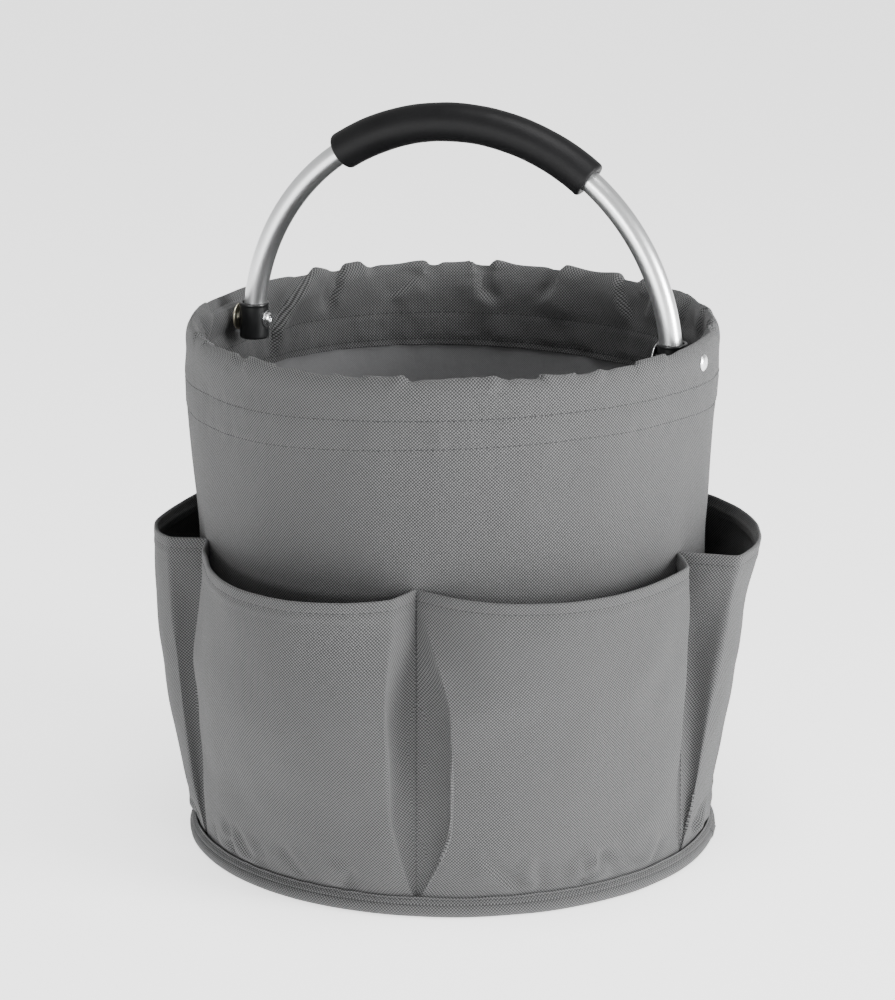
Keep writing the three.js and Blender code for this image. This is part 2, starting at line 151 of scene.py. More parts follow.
def grid_normals(grid, closed):
    """Unit normals of a grid whose columns run anticlockwise and whose rows run up."""
    if closed:
        along = np.roll(grid, -1, 1) - np.roll(grid, 1, 1)
    else:
        along = np.gradient(grid, axis=1)
    normals = np.cross(along, np.gradient(grid, axis=0))
    return normals / np.maximum(np.linalg.norm(normals, axis=-1, keepdims=True), 1e-9)


def row_average(values, reach):
    """Each row's average with the rows up to a reach above and below it."""
    wide = np.pad(values, ((reach, reach), (0, 0)), mode="edge")
    return sum(wide[i:i + len(values)] for i in range(2 * reach + 1)) / (2 * reach + 1)


MAP_ROWS = 8  # rows over which small wrinkles are left out of the cloth's flat coordinates


def cloth_map(grid, closed):
    """The cloth's flat coordinates at each point of a grid, in millimetres."""
    down = run_length(grid, 0).mean(1)
    if closed:
        rim = np.concatenate([grid, grid[:, :1]], 1)
        across = run_length(rim, 1).mean(0)[None, :] * np.ones((len(grid), 1))
    else:
        across = run_length(grid, 1)
        across = across - across[:, [grid.shape[1] // 2]]
        across = row_average(across, MAP_ROWS)
    return np.stack([across, down[:, None] * np.ones_like(across)], -1)


def quads(index):
    """The four corners of each cell in a grid of indices."""
    cells = np.stack([index[:-1, :-1], index[:-1, 1:], index[1:, 1:], index[1:, :-1]], -1)
    return cells.reshape(-1, 4)


def strip(first, second):
    """Faces between two rows of indices of the same length."""
    return np.stack([first[:-1], first[1:], second[1:], second[:-1]], -1)


def add_piece(name, node, points, faces, material, body="basket", flat=None, sharp=40):
    """A mesh piece from points in millimetres, riding on a body and standing for a CAD node."""
    mesh = bpy.data.meshes.new(name)
    mesh.from_pydata((np.asarray(points) / 1000).tolist(), [], [list(f) for f in faces])
    mesh.polygons.foreach_set("use_smooth", np.ones(len(mesh.polygons), bool))
    if flat is not None:
        layer = mesh.uv_layers.new(name="cloth")
        layer.data.foreach_set("uv", (np.asarray(flat) / 1000).ravel())
    mesh.set_sharp_from_angle(angle=math.radians(sharp))
    mesh.materials.append(material)
    piece = bpy.data.objects.new(name, mesh)
    bpy.context.scene.collection.objects.link(piece)
    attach(piece, body)
    if node is not None:
        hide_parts(node)
    return piece


def cloth_piece(name, node, grid, material, thickness=CLOTH, closed=False, body="basket"):
    """A closed sheet whose right side is a grid of points; a closed grid wraps round."""
    rows, columns = grid.shape[:2]
    index = np.arange(rows * columns).reshape(rows, columns)
    if closed:
        index = np.concatenate([index, index[:, :1]], 1)
    marks = np.arange(index.size).reshape(index.shape)
    behind = index + rows * columns
    faces = [quads(index), quads(behind)[:, ::-1]]
    corners = [quads(marks), quads(marks)[:, ::-1]]
    edges = [(behind[0], index[0], marks[0]), (index[-1], behind[-1], marks[-1])]
    if not closed:
        edges.append((index[:, 0], behind[:, 0], marks[:, 0]))
        edges.append((behind[:, -1], index[:, -1], marks[:, -1]))
    for first, second, mark in edges:
        faces.append(strip(first, second))
        corners.append(strip(mark, mark))
    back = grid - grid_normals(grid, closed) * thickness
    points = np.concatenate([grid.reshape(-1, 3), back.reshape(-1, 3)])
    flat = cloth_map(grid, closed).reshape(-1, 2)[np.concatenate(corners)]
    return add_piece(name, node, points, np.concatenate(faces), material, body, flat)


def turned_grid(outline, segments, wave=None):
    """Points of a closed outline of [radius, height] turned about Z; wave changes each radius."""
    turn = np.arange(segments) * FULL_TURN / segments
    rows = []
    for radius, height in outline:
        rows.append(polar(radius if wave is None else wave(radius, turn), turn, height))
    return np.array(rows)


def ring_piece(name, node, grid, material, body, sharp=35):
    """A closed body whose grid of points wraps round both ways."""
    rows, columns = grid.shape[:2]
    index = np.arange(rows * columns).reshape(rows, columns)
    index = np.concatenate([index, index[:1]], 0)
    index = np.concatenate([index, index[:, :1]], 1)
    return add_piece(name, node, grid.reshape(-1, 3), quads(index), material, body, sharp=sharp)


FILLET_POINTS = 4  # points along each rounded corner


def filleted(outline, fillet):
    """The outline with its corners rounded: each corner becomes a short curve."""
    outline = np.array(outline, float)
    rounded = []
    for i, corner in enumerate(outline):
        before, after = outline[i - 1] - corner, outline[(i + 1) % len(outline)] - corner
        # A fillet takes less than half of each side, so it can't meet the next one.
        reach = min(fillet, 0.45 * np.linalg.norm(before), 0.45 * np.linalg.norm(after))
        start = corner + before / np.linalg.norm(before) * reach
        end = corner + after / np.linalg.norm(after) * reach
        for share in np.linspace(0, 1, FILLET_POINTS):
            low, high = start + (corner - start) * share, corner + (end - corner) * share
            rounded.append(low + (high - low) * share)
    return np.array(rounded)


# ---- materials ----


class Shader:
    """A material's nodes, with short calls for what the finishes share."""

    def __init__(self, name, colour, roughness, metallic=0.0):
        self.material = bpy.data.materials.new(name)
        self.material.use_nodes = True
        self.tree = self.material.node_tree
        self.surface = self.tree.nodes["Principled BSDF"]
        self.surface.inputs["Base Color"].default_value = (*colour, 1)
        self.surface.inputs["Roughness"].default_value = roughness
        self.surface.inputs["Metallic"].default_value = metallic
        self.place = self.add("ShaderNodeTexCoord").outputs["Object"]

    def add(self, kind, **settings):
        node = self.tree.nodes.new(kind)
        for key, value in settings.items():
            setattr(node, key, value)
        return node

    def feed(self, socket, value):
        if isinstance(value, bpy.types.NodeSocket):
            self.tree.links.new(value, socket)
        else:
            socket.default_value = value

    def put(self, name, value):
        self.feed(self.surface.inputs[name], value)

    def math(self, operation, first, second=0.0):
        node = self.add("ShaderNodeMath", operation=operation)
        self.feed(node.inputs[0], first)
        self.feed(node.inputs[1], second)
        return node.outputs[0]

    def noise(self, size, detail):
        """Noise from 0 to 1 with lumps of a size in millimetres."""
        node = self.add("ShaderNodeTexNoise")
        self.feed(node.inputs["Vector"], self.place)
        node.inputs["Scale"].default_value = 1000 / size
        node.inputs["Detail"].default_value = detail
        return node.outputs["Fac"]

    def between(self, factor, low, high):
        """A number that goes from low to high as factor goes from 0 to 1."""
        node = self.add("ShaderNodeMapRange")
        self.feed(node.inputs["Value"], factor)
        self.feed(node.inputs["To Min"], low)
        self.feed(node.inputs["To Max"], high)
        return node.outputs["Result"]

    def blend(self, factor, first, second):
        node = self.add("ShaderNodeMix", data_type="RGBA")
        self.feed(node.inputs["Factor"], factor)
        self.feed(node.inputs[6], (*first, 1))
        self.feed(node.inputs[7], (*second, 1))
        return node.outputs[2]

    def shade(self, colour, amount):
        """The colour made darker or lighter by a number."""
        node = self.add("ShaderNodeVectorMath", operation="SCALE")
        self.feed(node.inputs[0], colour)
        self.feed(node.inputs["Scale"], amount)
        return node.outputs[0]

    def bump(self, height, distance):
        """Surface relief of a depth in millimetres."""
        node = self.add("ShaderNodeBump")
        node.inputs["Distance"].default_value = distance / 1000
        self.feed(node.inputs["Height"], height)
        previous = self.surface.inputs["Normal"]
        if previous.is_linked:
            self.feed(node.inputs["Normal"], previous.links[0].from_socket)
        self.feed(previous, node.outputs[0])

    def weave(self, cell):
        """Height of a basket weave on the cloth's map, and 1 where the warp is on top."""
        flat = self.add("ShaderNodeUVMap", uv_map="cloth").outputs[0]
        scaled = self.add("ShaderNodeVectorMath", operation="SCALE")
        self.feed(scaled.inputs[0], flat)
        scaled.inputs["Scale"].default_value = 1000 / cell
        split = self.add("ShaderNodeSeparateXYZ")
        self.feed(split.inputs[0], scaled.outputs[0])
        ridges = []
        whole = 0.0
        for axis in ("X", "Y"):
            share = self.math("FRACT", split.outputs[axis])
            bulge = self.math("SINE", self.math("MULTIPLY", share, math.pi))
            ridges.append(self.math("POWER", bulge, 0.6))
            whole = self.math("ADD", self.math("FLOOR", split.outputs[axis]), whole)
        on_top = self.math("FLOORED_MODULO", whole, 2.0)
        warp = self.math("MULTIPLY", ridges[0], self.between(ridges[1], 0.75, 1.0))
        weft = self.math("MULTIPLY", ridges[1], self.between(ridges[0], 0.75, 1.0))
        return self.between(on_top, weft, warp), on_top


def woven_cloth(name, light, dark, cell, relief):
    """Matte cloth whose two threads differ in tone, with painted shade in the gaps. Cell is a thread's
    width.
    """
    shader = Shader(name, light, 0.85)
    height, on_top = shader.weave(cell)
    threads = shader.blend(on_top, dark, light)
    # Painted shade: the colour darkens where the threads dip into the gaps between them.
    gaps = shader.between(height, 0.55, 1.08)
    wear = shader.between(shader.noise(70, 4), 0.92, 1.08)
    slubs = shader.between(shader.noise(1.6, 2), 0.93, 1.07)
    # The tone joins the painted shade of the gaps with the cloth's random wear and slubs.
    tone = shader.math("MULTIPLY", shader.math("MULTIPLY", gaps, wear), slubs)
    shader.put("Base Color", shader.shade(threads, tone))
    shader.put("Roughness", shader.between(height, 0.92, 0.74))
    shader.put("Specular IOR Level", 0.3)
    shader.put("Sheen Weight", 0.1)
    shader.put("Sheen Roughness", 0.45)
    shader.bump(height, relief)
    shader.bump(shader.noise(9, 3), 0.35)
    return shader.material


def satin_metal(name, colour, roughness, grain):
    """Metal with a fine blasted grain and a few broader marks."""
    shader = Shader(name, colour, roughness, metallic=1.0)
    specks = shader.noise(grain, 4)
    marks = shader.noise(14, 5)
    shader.put("Roughness", shader.between(specks, roughness * 0.8, roughness * 1.25))
    shader.put("Base Color", shader.shade(colour, shader.between(marks, 0.93, 1.03)))
    shader.bump(specks, 0.012)
    return shader.material


def moulded_plastic():
    shader = Shader("black_plastic", (0.006, 0.0065, 0.007), 0.38)
    shader.put("Roughness", shader.between(shader.noise(3, 4), 0.3, 0.48))
    shader.put("Coat Weight", 0.15)
    shader.bump(shader.noise(0.8, 3), 0.02)
    return shader.material


def foam_rubber():
    """Closed-cell foam: near black, with fine pores darkened inside as painted shade, and a satin skin.
    """
    shader = Shader("black_foam", (0.01, 0.01, 0.011), 0.5)
    pores = shader.add("ShaderNodeTexVoronoi", feature="F1")
    shader.feed(pores.inputs["Vector"], shader.place)
    pores.inputs["Scale"].default_value = 1000 / 0.7
    dirt = shader.noise(22, 4)
    base = shader.blend(dirt, (0.004, 0.004, 0.0043), (0.007, 0.007, 0.0076))
    # Painted shade: the colour darkens towards the middle of each pore, where the bump dips.
    shader.put("Base Color", shader.shade(base, shader.between(pores.outputs["Distance"], 0.7, 1.2)))
    shader.put("Roughness", shader.between(dirt, 0.42, 0.54))
    shader.put("Specular IOR Level", 0.16)
    shader.bump(pores.outputs["Distance"], 0.05)
    return shader.material


def stiff_sheet():
    shader = Shader("stiff_sheet", (0.05, 0.052, 0.055), 0.6)
    grain = shader.noise(2.5, 5)
    base = shader.blend(shader.noise(40, 3), (0.04, 0.042, 0.045), (0.065, 0.066, 0.07))
    shader.put("Base Color", shader.shade(base, shader.between(grain, 0.85, 1.15)))
    shader.bump(grain, 0.06)
    return shader.material


def sewing_thread():
    """Twisted polyester thread, darker than the cloth."""
    dark, light = (0.009, 0.009, 0.01), (0.018, 0.018, 0.02)
    shader = Shader("sewing_thread", dark, 0.7)
    shader.put("Base Color", shader.blend(shader.noise(0.6, 2), dark, light))
    shader.bump(shader.noise(0.25, 2), 0.05)
    return shader.material


OUTER_CLOTH = woven_cloth(
    "woven_cloth", light=(0.118, 0.1185, 0.1195), dark=(0.022, 0.0225, 0.023), cell=1.0, relief=0.3)
LINING_CLOTH = woven_cloth(
    "lining_cloth", light=(0.18, 0.181, 0.184), dark=(0.145, 0.146, 0.149), cell=0.7, relief=0.1)
THREAD = sewing_thread()
ALUMINIUM = satin_metal("aluminium", (0.82, 0.83, 0.835), 0.32, 1.2)
CHROME = satin_metal("chrome", (0.88, 0.885, 0.89), 0.24, 2.0)
BRASS = satin_metal("brass", (0.8, 0.76, 0.6), 0.38, 2.0)
PLASTIC = moulded_plastic()
FOAM = foam_rubber()
BOARD = stiff_sheet()

# ---- stitching ----

STITCH = 2.3
STITCH_GAP = 0.9
THREAD_RADIUS = 0.27
THREAD_SIDES = 6
THREAD_RINGS = [(0.0, 0.35), (0.12, 0.9), (0.5, 1.0), (0.88, 0.9), (1.0, 0.35)]  # (share, size)
STITCH_LIFT = 0.12  # of a stitch's middle off the cloth
STITCH_BEND = 1.4


def one_stitch(start, end, normal):
    """Points of one stitch: a short round thread whose ends dip into the cloth."""
    along = end - start
    across = np.cross(normal, along)
    across = across / np.linalg.norm(across)
    rings = []
    for share, size in THREAD_RINGS:
        rise = STITCH_LIFT - STITCH_BEND * (share - 0.5) ** 2
        centre = start + along * share + normal * rise
        for side in range(THREAD_SIDES):
            turn = 2 * math.pi * side / THREAD_SIDES
            reach = THREAD_RADIUS * size
            rings.append(centre + (across * math.cos(turn) + normal * math.sin(turn)) * reach)
    return np.array(rings)


def along_line(distance, along, line):
    """The value at a distance along a line, from the distances and values at its points."""
    return np.array([np.interp(distance, along, line[:, k]) for k in range(3)])


def stitches(name, lines, length=STITCH, gap=STITCH_GAP):
    """A seam's stitches as one piece. Each line is a row of points with the normals there."""
    points = []
    for line, normals in lines:
        along = run_length(line[None], 1)[0]
        count = int(along[-1] // (length + gap))
        at = np.arange(count) * along[-1] / max(count, 1)
        for begin in at:
            start = along_line(begin, along, line)
            end = along_line(begin + length, along, line)
            up = along_line(begin, along, normals)
            points.append(one_stitch(start, end, up / np.linalg.norm(up)))
    rings, sides = len(THREAD_RINGS), THREAD_SIDES
    index = np.arange(rings * sides).reshape(rings, sides)
    end_caps = [index[0, ::-1].tolist(), index[-1].tolist()]
    index = np.concatenate([index, index[:, :1]], 1)
    body = quads(index).tolist() + end_caps
    faces = [[k + i * rings * sides for k in face] for i in range(len(points)) for face in body]
    return add_piece(name, None, np.concatenate(points), faces, THREAD)


# ---- wall, roll over the rim and facing ----

COLUMNS = 460
SIDE_SEAM = node_span("pocket_rear_left")[0]  # the wall's own seam, above a pocket seam
LEFT_PIVOT, RIGHT_PIVOT = 270, 90
HOOP_JOINER = 180
ROLL_TOP_RADIUS = 160.4
ROLL_TOP_DROP = 9.5
FACING_TOP_RADIUS = 156.8
FACING_DROP = 11
FACING_START = 8  # distance past the top of the roll
FACING_LINE = [(157.4, 312), (157.9, 303), (157.6, 292), (157.2, 279)]  # (radius, height)
FACING_HEM = 4.0  # from the lower seam to the facing's edge
LEAST_SLACK = -1.1  # deeper dents would show the stiffener behind the cloth
SEAM_FOLD = 4.5  # half the width of the wall's own seam
SEAM_EDGE = 1.4  # from that fold's edge to its stitches
LINE_PEAK = 48.7  # angle where the seams under the rim are highest
# Mean height of a seam under the rim, then how far it waves once and twice round the caddy.
UPPER_SEAM = (302.5, 4.9, 2.4)  # closes the hoop's channel
LOWER_SEAM = (284.2, 5.2, 3.6)  # holds the facing's lower edge
WALL_STEPS = 80
SEAM_BAND = (243, 314)  # heights between which the rows are closer for the seams


def seam_height(seam, angle):
    mean, once, twice = seam
    turn = np.radians(angle_from(angle, LINE_PEAK))
    return mean + once * np.cos(turn) + twice * np.cos(2 * turn)


def wall_outline():
    """Radius and height down a fine line: up the wall, over the roll and down the facing."""
    heights = np.linspace(WALL_BOTTOM, RIM_HEIGHT - ROLL_TOP_DROP, WALL_STEPS)
    wall = np.stack([wall_radius(heights), heights], 1)
    turn = np.radians(np.linspace(0, 90, 16))[1:]
    reach = wall[-1, 0] - ROLL_TOP_RADIUS
    roll = wall[-1, 1] + ROLL_TOP_DROP * np.sin(turn)
    outer = np.stack([ROLL_TOP_RADIUS + reach * np.cos(turn), roll], 1)
    reach = ROLL_TOP_RADIUS - FACING_TOP_RADIUS
    shoulder = RIM_HEIGHT - FACING_DROP
    inner = np.stack([ROLL_TOP_RADIUS - reach * np.sin(turn), shoulder + FACING_DROP * np.cos(turn)], 1)
    return np.concatenate([wall, outer, inner, FACING_LINE])


# Folds of the gathered facing, seen at the rear: each is a line of (angle, distance past the
# top of the roll), its height, the width of its soft side and which side is sharp.
REAR_FOLDS = [
    ([(229.0, -5), (232.5, 20), (233.5, 34)], 4.0, 15, 1),
    ([(226.2, -4), (224.3, 10)], 2.2, 8, -1),
    ([(209.8, -6), (211.0, 10)], 2.8, 12, -1),
    ([(210.8, 9), (219.0, 27)], 4.0, 14, 1),
    ([(194.0, -6), (192.9, 7)], 2.8, 10, 1),
    ([(198.3, 8), (197.3, 21), (192.6, 31)], 4.2, 13, -1),
    ([(175.6, -5), (177.6, 15), (183.0, 29)], 4.0, 16, 1),
    ([(161.4, -2), (160.4, 12), (157.0, 31)], 3.8, 12, -1),
    ([(154.6, -4), (151.0, 16)], 2.8, 10, 1),
    ([(238.0, 0), (246.0, 20), (249.8, 34), (251.0, 60)], 6.0, 9, 1),
]
# Small puckers along the front of the rim.
PUCKER_ANGLES = (12.4, 31.8, 55.5, 330, 342)
FRONT_PUCKERS = [([(angle, -4), (angle + 1.5, 8)], 1.1, 4, 1) for angle in PUCKER_ANGLES]
RANDOM_FOLDS = (262, 505)  # the angles past the rear folds
FOLD_SHARP_WIDTH = 2.6
MM_PER_DEGREE = 2.8  # round the facing


def random_folds(rng):
    """Folds for the rest of the facing, which turns the gathered cloth both ways."""
    folds = []
    angle, last = RANDOM_FOLDS
    while angle < last:
        angle += rng.uniform(8, 17)
        lean = rng.uniform(-7, 7)
        reach = rng.uniform(14, 32)
        side = rng.choice([-1, 1])
        near_pivot = min(abs(angle_from(angle, RIGHT_PIVOT)), abs(angle_from(angle, LEFT_PIVOT)))
        height = rng.uniform(2.2, 3.6) * float(ease(near_pivot, 4, 12))
        line = [(angle, rng.uniform(4, 9)), (angle + lean, reach)]
        folds.append((line, height, rng.uniform(8, 15), side))
    return folds


def fold_relief(across, down, line, height, soft, side):
    """Height that a fold along a line adds at points given by their place on the flat cloth."""
    nearest = np.full(across.shape, 1e9)
    away = np.zeros(across.shape)
    run = np.zeros(across.shape)
    line = np.array(line, float)
    lengths = np.linalg.norm(np.diff(line, axis=0), axis=1)
    total = lengths.sum()
    for i, length in enumerate(lengths):
        way = (line[i + 1] - line[i]) / length
        x, y = across - line[i, 0], down - line[i, 1]
        along = np.clip(x * way[0] + y * way[1], 0, length)
        gap = np.hypot(x - along * way[0], y - along * way[1])
        signed = (x * way[1] - y * way[0]) * side
        closer = gap < nearest
        nearest = np.where(closer, gap, nearest)
        away = np.where(closer, np.copysign(gap, signed), away)
        run = np.where(closer, (lengths[:i].sum() + along) / total, run)
    ridge = np.where(away < 0, bell(away, soft), bell(away, FOLD_SHARP_WIDTH))
    # Past its sharp side a fold leaves a trough, and it fades out towards its end.
    trough = bell(away - 2.3 * FOLD_SHARP_WIDTH, 1.5 * FOLD_SHARP_WIDTH)
    fade = ease(run, 1.0, 0.6) * (0.55 + 0.45 * ease(run, 0, 0.25))
    return height * (ridge - 0.75 * trough) * fade


def wall_rows(outline):
    """Distance up the outline of each row of the wall's grid, closer where the shape is finer."""
    length = run_length(outline[None], 1)[0]
    top = length[outline[:, 1].argmax()]
    wall = outline[:WALL_STEPS, 1]
    low, high = (length[np.abs(wall - height).argmin()] for height in SEAM_BAND)
    rolled = top + 1.5 * FACING_START
    rows = np.concatenate([
        np.linspace(0, low, 34, endpoint=False),
        np.linspace(low, high, 24, endpoint=False),
        np.linspace(high, rolled, 20, endpoint=False),
        np.linspace(rolled, length[-1], 26),
    ])
    return rows, length, top


def wall_places():
    """Radius, height, angle and distance past the top of the roll, all over the wall's grid."""
    outline = wall_outline()
    rows, length, top = wall_rows(outline)
    radius = np.interp(rows, length, outline[:, 0])[:, None]
    height = np.interp(rows, length, outline[:, 1])[:, None]
    past_top = (rows - top)[:, None]
    angle = (SIDE_SEAM + np.arange(COLUMNS) * FULL_TURN / COLUMNS)[None, :]

    # The facing ends a little below the lower seam all the way round.
    facing_end = seam_height(LOWER_SEAM, angle) - FACING_HEM
    shoulder, lowest = RIM_HEIGHT - FACING_DROP, outline[-1, 1]
    share = np.clip((shoulder - height) / (shoulder - lowest), 0, 1)
    lengthened = height + share * (facing_end - lowest)
    return radius, np.where(past_top > FACING_START, lengthened, height), angle, past_top


def sewn_relief(flat, radius, height, angle, past_top):
    """Slack in the wall between its seams, and the marks of the seams on both of its faces."""
    inside = past_top > FACING_START
    broad = 0.9 + lumps(flat, 95, 3.1) * 2.2 + lumps(flat * [1, 1, 0.7], 38, 8.4) * 1.5
    held = ease(height, 318, 300) * ease(height, WALL_BOTTOM, 40)
    rise = np.where(inside, 0, np.maximum(broad, LEAST_SLACK) * held)
    rise += lumps(flat, 30, 5.0) * 0.6 * bell(past_top, 22)
    for seam in (UPPER_SEAM, LOWER_SEAM):
        off = height - seam_height(seam, angle)
        rise -= np.where(inside, 0.5, 0.42) * bell(off, 1.5)
        rise += lumps(flat * [1, 1, 0.35], 7, 2.2) * 0.55 * bell(off - 1, 7)
    channel = ease(height - seam_height(LOWER_SEAM, angle), -3, 3)
    rise += np.where(inside, 0, 0.5 * channel * ease(height, RIM_HEIGHT, RIM_HEIGHT - 14))

    # The wall's own seam is a flat fold, sewn down on both sides.
    from_seam = np.abs(np.radians(angle_from(angle, SIDE_SEAM)) * radius)
    return rise + np.where(inside, 0, 0.5 * ease(from_seam, SEAM_FOLD + 0.7, SEAM_FOLD - 0.7))


def gathered_relief(flat, height, angle, past_top):
    """The gathered cloth inside the hoop: folds, with slack billows between them."""
    inside = past_top > FACING_START
    off = height - seam_height(UPPER_SEAM, angle)
    slack = ease(past_top, 2, 12) * ease(off, 0, 7)
    rise = lumps(flat, 30, 6.6) * 2.6 * slack + lumps(flat, 12, 1.3) * 0.7 * slack
    below_seam = inside * ease(off, 0, -5)
    rise += (lumps(flat, 16, 4.4) * 1.2 + lumps(flat, 7, 9.9) * 0.5) * below_seam
    folds = REAR_FOLDS + FRONT_PUCKERS + random_folds(np.random.default_rng(11))
    down = np.broadcast_to(past_top, rise.shape)
    for line, size, soft, side in folds:
        middle = line[0][0]
        across = np.radians(angle_from(angle, middle)) * FACING_TOP_RADIUS
        across = np.broadcast_to(across, rise.shape)
        path = [(math.radians(float(angle_from(a, middle))) * FACING_TOP_RADIUS, d) for a, d in line]
        rise += fold_relief(across, down, path, size, soft, side)
    return rise


def fitted_relief(rise, height, angle, past_top):
    """The wall's relief, changed where the pivots, hoop, joiner and lining hold the cloth."""
    inside = past_top > FACING_START
    from_left, from_right = angle_from(angle, LEFT_PIVOT), angle_from(angle, RIGHT_PIVOT)
    off_pivot = height - PIVOT_HEIGHT

    # The facing hangs forward round the left pivot and below it. The right pivot presses it back.
    hang = 6.0
    hanging = bell(from_left + 2, 9) * ease(height, 311, 303) * inside
    rise = rise + hang * hanging
    pressed = bell(from_right * MM_PER_DEGREE, 13) * bell(off_pivot, 13)
    rise = np.where(inside, rise * (1 - 0.85 * pressed), rise)
    slack_left = bell(from_left * MM_PER_DEGREE, 22) * bell(off_pivot, 13) * inside
    rise = rise * (1 - slack_left) + hang * slack_left
    rise -= np.where(inside, 0, 1.4 * bell(from_left, 13) * bell(off_pivot, 22))

    # Elsewhere it stays clear of the handle, which moves close to it.
    free_play = np.where(np.abs(from_right) < 30, 1.2, 4.6)
    loose = (hanging > 0.1) | (np.abs(from_left + 20) < 9) | (slack_left > 0.1)
    rise = np.where(inside & ~loose, np.minimum(rise, free_play), rise)

    # Behind the facing are the hoop, its joiner and, lower down, the top of the lining.
    by_joiner = ease(np.abs(angle_from(angle, HOOP_JOINER)), 16, 10)
    by_lining = ease(height, 309, 305)
    over_hoop = ease(past_top, 22, 14)
    room = 2.1 - np.maximum(np.maximum(0.9 * by_joiner, 1.1 * by_lining), 0.9 * over_hoop)
    return np.where(past_top > -FACING_START, np.maximum(rise, -room), rise)


def seam_lines(grid, height, angle, past_top):
    """The lines of stitches: two seams on each face of the wall, and both sides of its own seam."""
    normals = grid_normals(grid, True)
    past_top = past_top[:, 0]
    lines = []
    for seam in (UPPER_SEAM, LOWER_SEAM):
        for face in (past_top < 0, past_top > FACING_START):
            part, part_normals = grid[face], normals[face]
            line, ups = [], []
            for column in list(range(COLUMNS)) + [0]:
                target = seam_height(seam, angle[0, column])
                order = np.argsort(part[:, column, 2])
                heights = part[order, column, 2]
                line.append(along_line(target, heights, part[order, column]))
                ups.append(along_line(target, heights, part_normals[order, column]))
            lines.append((np.array(line), np.array(ups)))
    below_rim = (past_top < -14) & (height[:, 0] > POCKET_TOP - 6)
    for side in (-1, 1):
        turn = side * (SEAM_FOLD - SEAM_EDGE) / RIM_RADIUS
        column = int(round(turn / (2 * math.pi) * COLUMNS))
        lines.append((grid[below_rim, column], normals[below_rim, column]))
    return lines


def outer_wall():
    radius, height, angle, past_top = wall_places()
    flat = polar(radius, angle, height)
    rise = sewn_relief(flat, radius, height, angle, past_top)
    rise += gathered_relief(flat, height, angle, past_top)
    rise = fitted_relief(rise, height, angle, past_top)
    grid = flat + grid_normals(flat, True) * rise[..., None]
    wall = cloth_piece("outer_wall", "outer_shell", grid, OUTER_CLOTH, closed=True)
    seams = stitches("rim_seam_stitches", seam_lines(grid, height, angle, past_top))


# ---- lining and base ----

LINING_GAP = 3.1  # from the wall's outside to the back of the lining
LINING_SLACK_TOP = 272  # above this the lining lies flat behind the facing
BASE_OVERHANG = 0.9  # of the base cloth past its plain solid, to meet the piping
BASE_LOW = 0.45
BASE_EDGE_RISE = 0.5
BASE_SEAM_INSET = 9


def lining_wall():
    """The lining stands inside the facing and hangs in slack folds below it."""
    columns, top = 240, node_box("lining_wall")[1][2]
    heights = np.linspace(FLOOR_TOP + 0.4, top, 70)[:, None]
    angle = (np.arange(columns) * FULL_TURN / columns)[None, :]
    back = wall_radius(heights) - LINING_GAP - LINING
    smooth = polar(back, angle, heights)
    slack = ease(heights, FLOOR_TOP, 30) * ease(heights, LINING_SLACK_TOP, LINING_SLACK_TOP - 35)
    wave = lumps(smooth * [1, 1, 0.5], 60, 7.7) * 1.6 + lumps(smooth * [1, 1, 0.3], 24, 2.0) * 0.5
    radius = back - 1.2 * slack + wave * slack
    grid = polar(np.minimum(radius, back), angle, heights)[:, ::-1]
    wall = cloth_piece("lining_wall_cloth", "lining_wall", grid, LINING_CLOTH, LINING, closed=True)


def disc_grid(radius, count):
    """A square grid of points spread over a disc, so that its weave runs straight across."""
    side = np.linspace(-1, 1, count)
    x, y = np.meshgrid(side, side)
    grid = np.zeros((count, count, 3))
    grid[..., 0] = radius * x * np.sqrt(1 - y * y / 2)
    grid[..., 1] = radius * y * np.sqrt(1 - x * x / 2)
    return grid, np.hypot(grid[..., 0], grid[..., 1])


def lining_floor():
    """The cloth that covers the base board."""
    radius = node_radius("lining_floor")
    low = node_box("lining_floor")[0][2]
    grid, spread = disc_grid(radius, 64)
    grid[..., 2] = low + LINING + 0.5 + lumps(grid, 45, 1.5) * 0.5 * ease(spread, radius, radius - 20)
    floor = cloth_piece("lining_floor_cloth", "lining_floor", grid, LINING_CLOTH, LINING)


def base():
    """The cloth under the base, with a raised edge and a line of stitches near it."""
    radius = node_radius("base_panel") + BASE_OVERHANG
    grid, spread = disc_grid(radius, 72)
    grid[..., 2] = BASE_LOW + BASE_EDGE_RISE * ease(spread, radius - 7, radius)
    panel = cloth_piece("base_cloth", "base_panel", grid[:, ::-1], OUTER_CLOTH)
    edge = polar(radius - BASE_SEAM_INSET, np.linspace(0, FULL_TURN, 181), 0.5)
    down = np.tile([0.0, 0.0, -1.0], (len(edge), 1))
    seam = stitches("base_seam_stitches", [(edge, down)])


# ---- pockets ----

